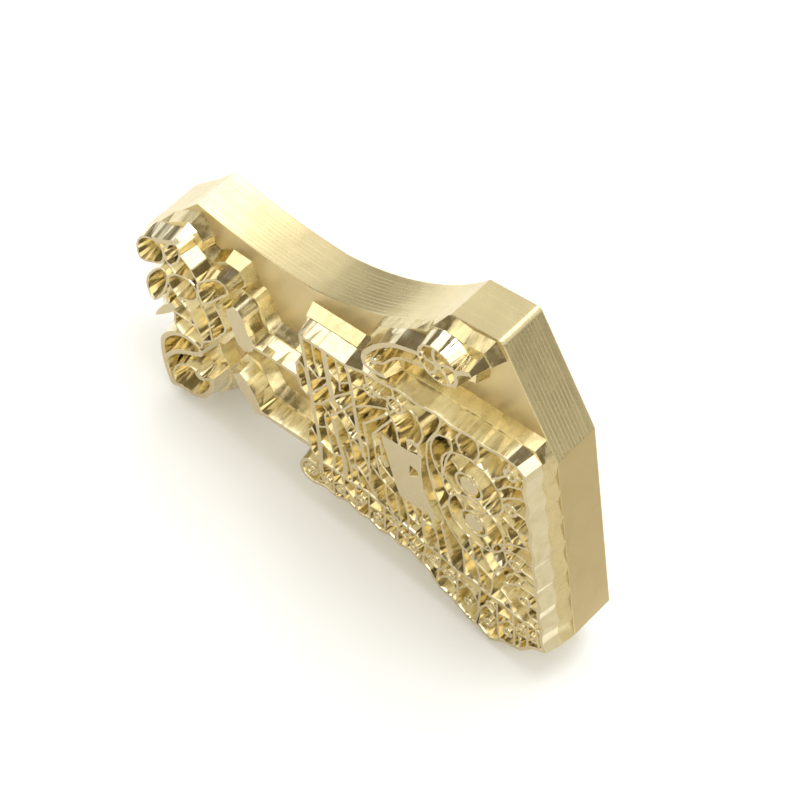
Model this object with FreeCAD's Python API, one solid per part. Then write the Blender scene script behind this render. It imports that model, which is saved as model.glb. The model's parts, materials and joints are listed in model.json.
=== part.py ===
"""Milled brass stamping die for leather: a shouldered block with ornament in high relief.

Face coordinates, in mm: u to the right and v up, seen from the printing side, from the
lower right corner of the block; h is the height above the floor of the relief.  place()
turns them into the part frame: +Z up, printing side toward -Y, standing on two feet,
origin at the bottom centre of the bounding box.
"""
import FreeCAD, Part
import math
import os

from FreeCAD import Vector

# ---- driving dimensions -------------------------------------------------------------
BASE = 9.2            # thickness of the block behind the floor of the relief
COARSE = 2.5          # height of the first milling stage, the plateaus
FINE = 3.3            # height of the second milling stage, the line work
COARSE_DRAFT = 16.0   # wall angle of the first stage, degrees
FINE_DRAFT = 10.0     # wall angle of the second stage, degrees
LINE = 0.21           # half the width of a fine line on the printing face
BAND = 0.48           # half the width of a broad line on the printing face

WIDTH = 91.6          # lower right corner to the left end
RIGHT_HEIGHT = 45.1   # height of the right end
SHOULDER_IN = 9.3     # how far the shoulder leans in
SHOULDER_TOP = 67.5   # height of the shoulder
SHOULDER_R = 1.3      # radius of the shoulder's corner
CREST_IN = 19.8       # right end of the hollow
HOLLOW_LOW = 50.9     # lowest point of the hollow
LEFT_PEAK = 54.6      # top of the left end
PEAK_IN = 13.4        # left end to its top
FOOT_RIGHT = (-15.0, -10.4)
FOOT_LEFT = (1.6 - WIDTH, 3.2)

TAP_DRILL = 6.8       # M8 tapped hole for the handle
TAP_DEPTH = 6.5
TAP_AT = (-40.0, 27.0)

RING_R = 6.5          # centre line of the two large rings
BOSS_R = 1.85
BOSS_RING_R = 2.75
BEAD_R = 1.15
ROSETTE_R = 3.9
RIPPLES = 7           # shallow hollows along the right edge
RIPPLE = 0.55         # depth of the hollows
EDGE_SPAN = (-1.2, RIGHT_HEIGHT - 0.5)
WEB_GAP = 0.9         # end of a boss's web to the middle of its ring

CRUMB = 0.8           # slivers left between crossing lines below this volume are dropped

RELIEF = COARSE + FINE
LEAN = math.degrees(math.atan2(FOOT_LEFT[1] - FOOT_RIGHT[1], FOOT_RIGHT[0] - FOOT_LEFT[0]))
FINE_FLARE = FINE * math.tan(math.radians(FINE_DRAFT))
COARSE_FLARE = COARSE * math.tan(math.radians(COARSE_DRAFT))


# ---- plane geometry -----------------------------------------------------------------
def smooth(points, steps=2, closed=False):
    """Catmull-Rom curve through the points, in straight facets."""
    n = len(points)
    spans = n if closed else n - 1
    out = []
    for i in range(spans):
        if closed:
            p = [points[(i + k) % n] for k in (-1, 0, 1, 2)]
        else:
            p = [points[min(max(i + k, 0), n - 1)] for k in (-1, 0, 1, 2)]
        for j in range(steps):
            out.append(catmull(p, j / steps))
    if not closed:
        out.append(points[-1])
    return out


def catmull(p, t):
    """One point of a Catmull-Rom span."""
    out = []
    for a, b, c, d in zip(*p):
        cube = (-a + 3 * b - 3 * c + d) * t ** 3
        out.append(0.5 * (2 * b + (c - a) * t + (2 * a - 5 * b + 4 * c - d) * t ** 2 + cube))
    return tuple(out)


def normals(points, closed):
    """Mitred left-hand normals of a path."""
    n = len(points)
    sides = []
    for i in range(n if closed else n - 1):
        a, b = points[i], points[(i + 1) % n]
        length = math.hypot(b[0] - a[0], b[1] - a[1])
        sides.append(((a[1] - b[1]) / length, (b[0] - a[0]) / length))
    out = []
    for i in range(n):
        before = sides[i - 1] if closed or i > 0 else sides[0]
        after = sides[i] if closed or i < n - 1 else sides[-1]
        dot = 1 + before[0] * after[0] + before[1] * after[1]
        out.append(((before[0] + after[0]) / dot, (before[1] + after[1]) / dot))
    return out


def shifted(points, distance, closed=True):
    """The path moved sideways: to the right of its direction for a positive distance."""
    moved = []
    for p, n in zip(points, normals(points, closed)):
        moved.append((p[0] - n[0] * distance, p[1] - n[1] * distance))
    return moved


def counter_clockwise(points):
    area = 0.0
    for a, b in zip(points, points[1:] + points[:1]):
        area += a[0] * b[1] - b[0] * a[1]
    return list(points) if area > 0 else list(reversed(points))


def left(points):
    """Points given from the left end of the block."""
    return [(x - WIDTH, y) for x, y in points]


def grown(points, distance):
    """A closed outline moved outward by the distance."""
    return shifted(counter_clockwise(points), distance)


# ---- solids -------------------------------------------------------------------------
def prismatoid(low, high, h_low, h_high):
    """Solid between two outlines with the same number of parallel sides."""
    a = [Vector(p[0], p[1], h_low) for p in low]
    b = [Vector(p[0], p[1], h_high) for p in high]
    n = len(a)
    faces = [Part.Face(Part.makePolygon(a + a[:1])), Part.Face(Part.makePolygon(b + b[:1]))]
    for i in range(n):
        j = (i + 1) % n
        faces.append(Part.Face(Part.makePolygon([a[i], a[j], b[j], b[i], a[i]])))
    solid = Part.Solid(Part.Shell(faces))
    if solid.Volume < 0:
        solid.reverse()
    return solid


def stage(outline, fine=True):
    """One milling stage with drafted walls; the outline is its upper edge."""
    top = counter_clockwise(outline)
    if fine:
        return prismatoid(grown(top, FINE_FLARE), top, COARSE, RELIEF)
    return prismatoid(grown(top, COARSE_FLARE), top, 0.0, COARSE)


def pocket(outline, depth=FINE):
    """Cutter for a pocket whose walls lean out toward the printing face."""
    mouth = counter_clockwise(outline)
    flare = depth * math.tan(math.radians(FINE_DRAFT))
    return prismatoid(grown(mouth, -flare), mouth, RELIEF - depth, RELIEF)


def line(path, half=LINE, steps=2):
    """Open line of constant width, standing on the plateau with drafted walls."""
    path = smooth(path, steps)
    outlines = []
    for width, reach in ((half + FINE_FLARE, FINE_FLARE), (half, 0.0)):
        ends = stretched(path, reach)
        one = shifted(ends, width, closed=False)
        other = shifted(ends, -width, closed=False)
        outlines.append(one + other[::-1])
    return prismatoid(outlines[0], outlines[1], COARSE, RELIEF)


def stretched(path, reach):
    """The path made longer by reach at both ends."""
    out = list(path)
    for i, j in ((0, 1), (-1, -2)):
        dx, dy = path[i][0] - path[j][0], path[i][1] - path[j][1]
        length = math.hypot(dx, dy)
        out[i] = (path[i][0] + dx / length * reach, path[i][1] + dy / length * reach)
    return out


def deepest(mouth):
    """Greatest depth at which the sloping walls of a pocket haven't met yet."""
    depth = FINE
    while depth > 0.6 and folded(mouth, depth * math.tan(math.radians(FINE_DRAFT))):
        depth -= 0.2
    return depth


def folded(outline, inset):
    """True when an inset turns any side of the outline round."""
    floor = grown(outline, -inset)
    n = len(outline)
    for i in range(n):
        j = (i + 1) % n
        before = (outline[j][0] - outline[i][0], outline[j][1] - outline[i][1])
        after = (floor[j][0] - floor[i][0], floor[j][1] - floor[i][1])
        if before[0] * after[0] + before[1] * after[1] < 0.0:
            return True
    return False


def loop(points, half=LINE, steps=2):
    """Closed line round a pocket; narrow pockets are shallower."""
    path = smooth(counter_clockwise(points), steps, closed=True) if steps > 1 else counter_clockwise(points)
    mouth = grown(path, -half)
    return stage(grown(path, half)).cut(pocket(mouth, deepest(mouth)))


def ring(centre, radius, half=LINE):
    """Round closed line; the pocket in a small one ends where its walls meet."""
    slope = math.tan(math.radians(FINE_DRAFT))
    mouth = radius - half
    depth = min(FINE, (mouth - 0.02) / slope)
    at = Vector(centre[0], centre[1], RELIEF - depth)
    return cone(centre, radius + half).cut(Part.makeCone(mouth - depth * slope, mouth, depth, at))


def cone(centre, radius):
    """Round boss with a conical wall; the radius is that of its printing face."""
    return Part.makeCone(radius + FINE_FLARE, radius, FINE, Vector(centre[0], centre[1], COARSE))


def joined(solids):
    """One clean solid, or a group of separate ones where they do not touch."""
    whole = solids[0].multiFuse(solids[1:]) if len(solids) > 1 else solids[0]
    return whole.removeSplitter()


# ---- the block ----------------------------------------------------------------------
def block_edges():
    """Outline of the block: straight sides, a shoulder and a hollow of two arcs."""
    crest = (-CREST_IN, SHOULDER_TOP - 0.7)
    low = (-52.3, HOLLOW_LOW)
    peak = (PEAK_IN - WIDTH, LEFT_PEAK)
    before, middle, after = corner((0.0, RIGHT_HEIGHT), (-SHOULDER_IN, SHOULDER_TOP), crest, SHOULDER_R)
    end = left([(9.3, 50.6), (1.9, 44.4), (0.0, 41.0), (0.0, 7.5)])
    bottom = [FOOT_LEFT] + left([(4.2, 3.3), (11.2, 4.6), (16.6, 10.4)]) + [(-59.4, 10.8)]
    bottom += [(-59.2, 2.9), (-56.5, 1.7), (-42.0, 0.2), (-30.6, -1.6), FOOT_RIGHT]
    bottom += [(-5.2, -6.6), (0.0, -0.8)]
    edges = segments([(0.0, -0.8), (0.0, RIGHT_HEIGHT), before])
    edges.append(arc(before, middle, after))
    edges += segments([after, crest])
    edges.append(arc(crest, (-36.1, 55.5), low))
    edges.append(arc(low, (PEAK_IN + 12.7 - WIDTH, 51.9), peak))
    return edges + segments([peak] + end + bottom)


def corner(a, b, c, radius):
    """Start, middle and end of the arc that rounds the corner b between a and c."""
    u = unit(b, a)
    w = unit(b, c)
    half = math.acos(u[0] * w[0] + u[1] * w[1]) / 2
    reach = radius / math.tan(half)
    axis = unit((0.0, 0.0), (u[0] + w[0], u[1] + w[1]))
    rise = radius / math.sin(half) - radius
    start = (b[0] + u[0] * reach, b[1] + u[1] * reach)
    end = (b[0] + w[0] * reach, b[1] + w[1] * reach)
    return start, (b[0] + axis[0] * rise, b[1] + axis[1] * rise), end


def unit(a, b):
    length = math.hypot(b[0] - a[0], b[1] - a[1])
    return ((b[0] - a[0]) / length, (b[1] - a[1]) / length)


def segments(points):
    out = []
    for a, b in zip(points, points[1:]):
        out.append(Part.makeLine(Vector(*a, 0), Vector(*b, 0)))
    return out


def arc(a, b, c):
    return Part.Arc(Vector(*a, 0), Vector(*b, 0), Vector(*c, 0)).toShape()


def block_prism(h_low, h_high):
    face = Part.Face(Part.Wire(block_edges()))
    face.translate(Vector(0, 0, h_low))
    return face.extrude(Vector(0, 0, h_high - h_low))


def base_block():
    body = block_prism(-BASE, 0.0)
    hole = Part.makeCylinder(TAP_DRILL / 2, TAP_DEPTH, Vector(*TAP_AT, -BASE))
    tip = Part.makeCone(TAP_DRILL / 2, 0.0, 1.2, Vector(*TAP_AT, TAP_DEPTH - BASE))
    return body.cut(hole.fuse(tip))


# ---- first milling stage ------------------------------------------------------------
def leaf_plateau():
    edge = [(0.6, 37.6), (0.6, 42.4), (2.8, 46.1), (7.6, 48.4), (10.6, 50.5), (14.0, 52.3)]
    edge += [(16.0, 49.0), (15.0, 46.0), (17.6, 45.2), (21.0, 47.4), (24.4, 47.2)]
    edge += [(25.4, 44.4), (23.0, 41.4), (21.6, 38.0), (22.6, 33.4), (20.6, 29.2)]
    edge += [(15.6, 22.4), (12.4, 22.2), (7.0, 23.4), (3.2, 22.0), (0.3, 22.2), (1.2, 27.6)]
    edge += [(0.7, 30.4), (1.2, 34.2), (3.0, 37.4)]
    return stage(left(edge), fine=False)


def scroll_plateau():
    edge = [(1.4, 4.2), (5.0, 4.9), (9.4, 5.2), (13.2, 8.2), (15.4, 12.4), (15.8, 16.6)]
    edge += [(14.6, 19.0), (13.8, 24.2), (7.2, 24.0), (3.2, 21.2), (0.6, 17.0), (0.2, 10.6)]
    return stage(left(edge), fine=False)


def bar_plateaus():
    """Plateaus of the two bars with their crescents."""
    upper = left([(28.8, 32.1), (26.4, 29.8), (23.6, 30.4), (22.2, 34.4), (21.8, 40.2), (23.4, 42.6)])
    upper += left([(27.0, 42.2), (28.2, 38.8), (29.0, 35.2)]) + [(-54.2, 35.0), (-54.2, 32.6)]
    lower = left([(27.2, 13.2), (23.6, 12.8), (21.0, 15.4), (19.2, 20.8), (21.4, 24.0), (24.6, 23.8)])
    lower += left([(27.0, 17.2)]) + [(-54.6, 16.6), (-54.6, 13.6)]
    return joined([stage(upper, fine=False), stage(lower, fine=False)])


def body_plateau():
    edge = [(-0.75, -1.9)] + ripple_points(-0.75, *EDGE_SPAN)
    edge += [(-0.8, 46.7), (-2.2, 48.9), (-20.0, 49.0), (-28.2, 48.7), (-36.6, 48.0), (-40.5, 46.8)]
    edge += [(-51.9, 46.8), (-52.4, 39.4), (-54.2, 38.0), (-54.6, 30.2), (-52.6, 29.4)]
    edge += [(-52.4, 21.4), (-54.4, 20.4), (-54.8, 12.0), (-57.9, 9.6), (-58.2, 4.2), (-56.2, 3.1)]
    edge += [(-48.8, 3.2), (-38.9, 1.6), (-33.0, 1.1), (-29.6, 0.1), (-26.4, -4.0), (-19.2, -7.7)]
    edge += [(-14.8, -9.5), (-7.4, -6.5)]
    return stage(edge, fine=False)


def curl_plateau():
    edge = [(-36.9, 47.6), (-36.6, 52.4), (-34.2, 56.2), (-31.2, 58.9), (-27.2, 61.3), (-23.2, 62.7)]
    edge += [(-21.6, 65.0), (-18.6, 66.1), (-15.2, 65.5), (-10.9, 66.1), (-9.6, 63.7), (-13.0, 60.4)]
    edge += [(-13.6, 57.2), (-17.8, 55.8), (-21.2, 56.4), (-26.0, 56.0), (-29.0, 52.6), (-30.0, 47.6)]
    return stage(edge, fine=False)


# ---- left ornament ------------------------------------------------------------------
def upper_leaf():
    edge = [(1.8, 38.6), (1.8, 42.0), (3.3, 44.7), (5.8, 46.3), (8.2, 46.0)]
    edge += [(8.7, 43.6), (7.5, 41.2), (5.0, 39.7)]
    crest = line(left([(6.6, 46.6), (10.0, 48.0), (12.8, 49.6), (13.9, 51.0)]), BAND)
    return joined([loop(left(edge)), crest])


def second_leaf():
    edge = [(2.8, 28.6), (1.8, 30.9), (2.4, 33.9), (4.4, 36.9), (7.0, 39.4)]
    edge += [(8.3, 38.2), (7.2, 34.9), (5.2, 31.4)]
    return loop(left(edge))


def round_loop():
    edge = [(8.1, 36.6), (9.3, 39.2), (11.6, 40.7), (14.2, 41.0), (15.7, 39.5)]
    edge += [(15.2, 37.0), (13.0, 35.0), (10.0, 34.2)]
    return loop(left(edge))


def narrow_leaf():
    edge = [(9.0, 42.6), (9.0, 45.2), (10.6, 47.7), (12.7, 49.0)]
    edge += [(13.4, 47.4), (12.2, 44.4), (10.4, 42.4)]
    veins = [line(left([(13.0, 46.9), (15.4, 44.6), (16.6, 41.7)]))]
    veins.append(line(left([(9.4, 42.0), (10.7, 40.2)])))
    return joined([loop(left(edge))] + veins)


def link_loop():
    edge = [(16.2, 41.2), (18.8, 44.0), (21.7, 46.2), (23.7, 46.2), (24.1, 44.4), (22.2, 42.3)]
    edge += [(19.2, 39.0), (16.4, 36.9)]
    return loop(left(edge))


def tongue():
    edge = [(2.0, 24.0), (3.9, 25.4), (6.6, 27.7), (9.0, 30.6)]
    edge += [(7.7, 31.0), (5.2, 28.8), (2.9, 25.8)]
    stem = line(left([(7.0, 29.2), (6.7, 31.6), (8.0, 34.9)]))
    return joined([stage(left(edge)), stem])


def stem_lines():
    lines = [line(left([(9.8, 34.0), (12.2, 31.6), (13.2, 28.6), (14.2, 25.8), (13.2, 22.9)]))]
    lines.append(line(left([(14.0, 25.2), (17.0, 27.4), (19.8, 31.0), (21.4, 33.6), (19.8, 38.6)])))
    lines.append(line(left([(7.8, 28.9), (10.6, 28.7), (13.3, 28.4)])))
    lines.append(line(left([(15.3, 36.9), (17.0, 33.4), (16.9, 27.6)])))
    lines.append(line(left([(8.0, 28.4), (7.4, 25.2), (9.0, 23.4)])))
    return joined(lines)


def scroll_band():
    outer = [(12.8, 22.6), (10.2, 23.3), (7.2, 22.6), (4.4, 20.5), (2.4, 17.6), (1.7, 13.6)]
    outer += [(1.6, 9.4), (2.3, 5.4)]
    inner = [(12.8, 22.2), (12.3, 20.5), (8.2, 18.3), (4.8, 16.0), (2.0, 12.6)]
    return joined([line(left(outer), BAND), line(left(inner), BAND)])


def scroll_hook():
    outer = [(2.2, 5.6), (4.7, 6.5), (7.0, 6.3), (9.6, 7.3), (11.9, 9.5), (13.6, 12.4)]
    outer += [(14.2, 15.6)]
    lip = [(14.3, 15.3), (12.9, 14.4), (11.4, 12.9)]
    heart = [(10.4, 14.3), (7.6, 14.6), (4.6, 12.0), (3.2, 8.8), (2.9, 6.0)]
    boss = cone((10.7 - WIDTH, 13.6), 0.95)
    return joined([line(left(outer), BAND), line(left(lip)), boss, line(left(heart))])


# ---- bars ---------------------------------------------------------------------------
def upper_crescent():
    edge = [(22.8, 39.5), (24.7, 41.6), (26.0, 41.2), (27.0, 39.4), (27.2, 36.4), (28.2, 34.3)]
    edge += [(27.6, 32.0), (25.5, 30.7), (23.8, 31.7), (23.4, 34.7), (22.6, 37.0)]
    return stage(left(edge))


def lower_crescent():
    edge = [(20.7, 21.4), (22.8, 23.1), (24.2, 21.8), (25.4, 19.1), (26.3, 16.3), (26.4, 14.1)]
    edge += [(24.7, 13.9), (23.0, 16.5), (21.5, 19.0)]
    return stage(left(edge))


def upper_bar():
    return stage(left([(27.1, 34.1), (27.1, 33.3)]) + [(-52.9, 33.2), (-52.9, 34.0)])


def lower_bar():
    return stage(left([(25.6, 15.4), (25.6, 14.4)]) + [(-53.3, 14.3), (-53.3, 15.7)])


# ---- ribs and lattice ---------------------------------------------------------------
def slot_loops():
    upper = [(-51.6, 30.0), (-52.8, 30.8), (-53.1, 34.0), (-52.9, 37.0), (-51.9, 38.2), (-50.9, 37.0)]
    upper += [(-50.8, 34.0), (-50.8, 31.0)]
    lower = [(-52.2, 12.6), (-53.3, 13.8), (-53.5, 16.6), (-53.2, 19.4), (-52.2, 20.4), (-51.2, 19.2)]
    lower += [(-51.2, 16.4), (-51.4, 13.6)]
    return joined([loop(upper, steps=1), loop(lower, steps=1)])


def long_rib():
    path = [(-50.4, 45.4), (-50.3, 38.0), (-50.5, 28.0), (-50.5, 18.0), (-51.3, 12.0), (-51.6, 9.0)]
    return line(path, 0.4)


def column_ribs():
    ribs = [line([(-45.2, 45.4), (-45.2, 38.0), (-44.9, 33.4)], 0.6)]
    ribs.append(line([(-40.4, 45.0), (-39.9, 43.6), (-39.8, 37.0), (-40.0, 30.0), (-39.6, 22.0)], 0.4))
    ribs.append(line([(-45.9, 27.6), (-45.7, 23.0), (-45.0, 17.4), (-45.5, 12.0)], 0.5))
    ribs.append(line([(-42.7, 27.0), (-42.2, 20.6), (-41.7, 12.0)]))
    ribs.append(line([(-38.4, 31.8), (-38.2, 25.0), (-38.8, 19.6)]))
    ribs.append(line([(-36.4, 30.5), (-36.5, 24.0), (-36.0, 19.0)]))
    ribs.append(line([(-47.9, 27.2), (-48.0, 22.0), (-47.4, 17.0), (-48.2, 12.2)]))
    ribs.append(line([(-42.6, 45.2), (-42.4, 41.0), (-42.8, 37.2)]))
    ribs.append(line([(-47.8, 45.4), (-47.9, 41.0), (-47.4, 37.4)]))
    ribs.append(line([(-43.9, 20.4), (-43.6, 16.0), (-43.9, 12.2)]))
    ribs.append(line([(-34.8, 30.2), (-34.9, 26.4), (-34.4, 23.6)]))
    return joined(ribs)


def lattice():
    bars = [loop([(-48.2, 30.1), (-46.5, 27.9), (-44.6, 30.1), (-46.4, 32.2)], steps=1)]
    bars.append(line([(-50.3, 31.4), (-47.6, 34.4), (-45.0, 38.0)], steps=1))
    bars.append(line([(-50.4, 28.4), (-48.0, 30.1)], steps=1))
    bars.append(line([(-46.3, 32.2), (-43.6, 35.4), (-40.0, 38.8)], steps=1))
    bars.append(line([(-44.6, 30.1), (-42.0, 33.4), (-39.9, 36.2)], steps=1))
    bars.append(line([(-44.6, 33.6), (-42.0, 31.0), (-39.9, 28.6)], steps=1))
    bars.append(line([(-44.8, 30.0), (-42.8, 26.8), (-39.8, 23.4)], steps=1))
    bars.append(line([(-50.3, 22.4), (-47.6, 24.2), (-45.7, 22.8)], steps=1))
    bars.append(line([(-50.3, 38.6), (-47.8, 36.8), (-45.2, 38.8)], steps=1))
    bars.append(line([(-45.0, 41.0), (-42.4, 39.4), (-39.9, 41.4)], steps=1))
    bars.append(line([(-42.4, 24.4), (-40.6, 26.8), (-38.4, 26.2)], steps=1))
    bars.append(line([(-50.4, 18.4), (-47.8, 16.8), (-45.2, 18.2)], steps=1))
    bars.append(line([(-42.0, 18.0), (-40.2, 16.2), (-38.9, 13.6)], steps=1))
    return joined(bars)


def fan_lines():
    rays = [line([(-32.2, 40.4), (-36.2, 38.2), (-39.7, 35.4)])]
    rays.append(line([(-32.2, 39.0), (-35.4, 35.2), (-38.4, 31.9)]))
    rays.append(line([(-31.2, 38.2), (-33.8, 34.6), (-36.4, 30.6)]))
    rays.append(line([(-32.0, 40.6), (-30.4, 37.4), (-30.2, 32.6)]))
    rays.append(line([(-38.2, 21.6), (-36.6, 19.4), (-33.6, 17.2)]))
    rays.append(line([(-36.4, 24.6), (-34.6, 22.2), (-32.8, 20.8)]))
    rays.append(line([(-39.6, 22.2), (-38.6, 19.4), (-39.4, 15.4), (-38.2, 11.8)]))
    return joined(rays)


# ---- plate and rings ----------------------------------------------------------------
def notched_plate():
    edge = [(-34.4, 32.4), (-28.4, 32.5), (-28.2, 36.0), (-25.6, 36.4), (-25.2, 33.0), (-25.8, 30.0)]
    edge += [(-26.0, 24.0), (-24.7, 20.0), (-23.4, 17.4), (-32.0, 17.6), (-32.8, 21.0), (-33.4, 25.5)]
    upper = pocket([(-28.3, 32.6), (-27.5, 35.4), (-26.0, 34.9), (-26.0, 33.2)], 2.4)
    lower = pocket([(-29.0, 25.4), (-28.3, 28.8), (-26.7, 28.4), (-26.5, 26.9)], 2.4)
    return stage(edge).cut(upper).cut(lower).removeSplitter()


def leaf_arcs():
    arcs = [line([(-19.2, 47.2), (-20.4, 43.4), (-23.2, 38.6), (-24.0, 32.0), (-23.2, 26.0), (-22.2, 21.6)])]
    outer = [(-17.6, 43.4), (-20.2, 42.8), (-22.0, 40.0), (-22.6, 36.6), (-22.0, 33.4), (-20.9, 31.2)]
    arcs.append(line(outer))
    arcs.append(line([(-17.6, 43.4), (-17.6, 40.8), (-19.1, 37.6), (-20.0, 34.4), (-20.9, 31.2)]))
    arcs.append(line([(-20.8, 31.2), (-20.6, 29.0), (-19.6, 27.6)]))
    arcs.append(line([(-22.2, 22.0), (-20.4, 24.8), (-19.4, 28.0)]))
    arcs.append(line([(-25.4, 36.4), (-24.0, 39.6), (-24.8, 43.4), (-27.6, 44.6)]))
    return joined(arcs)


def upper_ring():
    return ring((-14.0, 34.8), RING_R)


def lower_ring():
    return ring((-14.2, 24.4), RING_R - 0.5)


def ring_boss(centre):
    """Round boss with a thin ring round it, on two webs."""
    webs = []
    reach = RING_R - WEB_GAP
    for side in (-1, 1):
        a = math.radians(35 + 90 * side)
        near = (centre[0] + BOSS_RING_R * math.cos(a), centre[1] + BOSS_RING_R * math.sin(a))
        far = (centre[0] + reach * math.cos(a), centre[1] + reach * math.sin(a))
        webs.append(line([near, far], steps=1))
    return joined([cone(centre, BOSS_R), ring(centre, BOSS_RING_R, 0.26)] + webs)


def upper_ring_boss():
    return ring_boss((-14.8, 33.7))


def lower_ring_boss():
    return ring_boss((-14.8, 24.0))


def side_leaf():
    edge = [(-9.6, 16.2), (-8.2, 18.6), (-8.4, 21.2), (-9.6, 22.6), (-11.0, 20.6), (-11.0, 18.2)]
    rays = [line([(-9.4, 22.6), (-5.6, 25.4), (-2.2, 26.6)])]
    rays.append(line([(-9.6, 16.2), (-11.6, 12.6), (-12.4, 8.6), (-13.2, 5.4)]))
    rays.append(line([(-7.6, 36.0), (-4.6, 38.6), (-2.0, 39.6)]))
    rays.append(line([(-7.8, 31.0), (-4.8, 29.6), (-2.0, 30.6)]))
    rays.append(line([(-9.2, 40.0), (-6.2, 43.0), (-4.8, 47.2)]))
    rays.append(line([(-12.6, 41.6), (-11.4, 44.4), (-11.6, 47.4)]))
    rays.append(line([(-15.6, 41.8), (-16.2, 44.6), (-15.0, 47.2)]))
    rays.append(line([(-8.0, 38.0), (-5.4, 41.0), (-2.0, 42.4)]))
    rays.append(line([(-7.4, 28.6), (-6.4, 24.4), (-7.8, 21.4)]))
    rays.append(line([(-5.0, 30.0), (-3.6, 27.0)]))
    rays.append(line([(-8.6, 22.0), (-5.8, 22.8), (-2.0, 22.0)]))
    rays.append(line([(-8.8, 14.0), (-6.8, 16.8), (-2.0, 16.4)]))
    rays.append(line([(-5.0, 8.8), (-4.0, 6.6), (-1.8, 6.8)]))
    return joined([loop(edge)] + rays)


def bead_rings():
    at = ((-35.4, 42.6), (-5.0, 44.0), (-5.9, 34.4), (-6.4, 19.2), (-5.2, 10.4), (-54.6, 7.4))
    beads = [ring(p, BEAD_R, 0.3) for p in at]
    beads.append(ring((-29.6, 43.2), BEAD_R + 0.45, 0.3))
    beads += [cone(p, 0.7) for p in ((-6.2, 14.2), (-9.0, 12.0), (-33.4, 43.0), (-42.4, 17.4), (-27.4, 14.6))]
    return joined(beads)


def bead_ties():
    ties = [line(p, steps=1) for p in (
        [(-35.6, 43.9), (-35.8, 46.8)], [(-36.4, 42.2), (-39.8, 41.2)], [(-29.6, 45.0), (-29.8, 47.4)],
        [(-4.0, 44.4), (-1.6, 44.8)], [(-4.8, 34.6), (-1.8, 34.4)], [(-5.2, 19.0), (-1.8, 18.6)],
        [(-4.0, 10.2), (-1.8, 9.8)], [(-31.6, 42.0), (-31.4, 40.6)], [(-33.4, 43.0), (-31.2, 43.2)],
        [(-6.2, 14.2), (-2.0, 14.0)], [(-9.0, 12.0), (-6.2, 14.2)])]
    return joined(ties)


# ---- frame --------------------------------------------------------------------------
def frame_top():
    path = [(-50.8, 45.6), (-45.0, 45.7), (-40.0, 45.5), (-36.0, 46.8), (-31.6, 47.0), (-28.6, 47.7)]
    path += [(-24.2, 47.4), (-20.4, 47.9), (-17.0, 47.2), (-13.4, 47.8), (-9.6, 47.4)]
    path += [(-6.8, 47.9), (-3.2, 47.4)]
    return line(path, 0.36)


def ripple_points(u, low, high):
    """Right edge from low to high: hollows with a ridge between each two."""
    pitch = (high - low) / RIPPLES
    out = [(u, low)]
    for i in range(RIPPLES):
        v = low + i * pitch
        out.append((u - RIPPLE * 0.8, v + pitch * 0.25))
        out.append((u - RIPPLE, v + pitch * 0.55))
        out.append((u, v + pitch))
    return out


def frame_right():
    path = ripple_points(-1.75, *EDGE_SPAN) + [(-1.9, 46.2), (-3.4, 47.4)]
    return line(path, 0.36, steps=1)


def border_line():
    path = [(-50.9, 12.0), (-48.0, 12.2), (-45.0, 11.7), (-41.6, 12.1), (-38.4, 11.4), (-35.6, 10.9)]
    path += [(-33.0, 9.4), (-30.4, 9.0), (-28.0, 7.6), (-24.4, 7.5), (-21.0, 6.2), (-17.4, 6.4)]
    path += [(-14.0, 5.1), (-10.6, 5.2), (-7.6, 4.0), (-4.6, 4.3), (-2.0, 3.6)]
    return line(path, 0.34)


def lower_edge():
    path = [(-51.4, 9.6), (-54.6, 10.0), (-56.6, 8.0), (-56.8, 5.0), (-54.6, 4.0), (-51.6, 4.9)]
    path += [(-48.8, 4.2), (-46.2, 5.2), (-43.4, 3.7), (-41.2, 4.1), (-38.9, 2.6), (-36.4, 3.4)]
    path += [(-34.2, 2.3), (-31.8, 2.9), (-29.4, 1.2), (-27.6, 0.4), (-25.6, -2.7), (-22.8, -3.6)]
    path += [(-19.4, -6.5), (-17.2, -6.6), (-14.8, -8.5), (-11.8, -6.4), (-7.8, -5.5)]
    path += [(-5.0, -2.6), (-1.9, -1.0)]
    return line(path, 0.36)


def border_ties():
    ends = [((-48.8, 11.8), (-49.2, 4.6)), ((-46.0, 11.6), (-46.8, 5.0)), ((-43.2, 11.8), (-44.0, 4.2))]
    ends += [((-40.2, 11.5), (-41.0, 4.2)), ((-36.6, 10.9), (-37.6, 3.2)), ((-33.6, 9.6), (-34.8, 2.6))]
    ends += [((-31.0, 8.8), (-32.6, 2.8)), ((-27.6, 7.4), (-29.2, 1.4)), ((-24.2, 7.2), (-26.2, -1.8))]
    ends += [((-20.4, 6.4), (-21.8, -4.4)), ((-15.4, 5.6), (-17.4, -6.2)), ((-11.8, 4.8), (-12.6, -6.6))]
    ends += [((-8.2, 4.2), (-8.8, -5.0)), ((-5.0, 4.0), (-5.8, -3.0)), ((-3.2, 3.6), (-3.0, -1.6))]
    return joined([line([a, b], steps=1) for a, b in ends])


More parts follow.
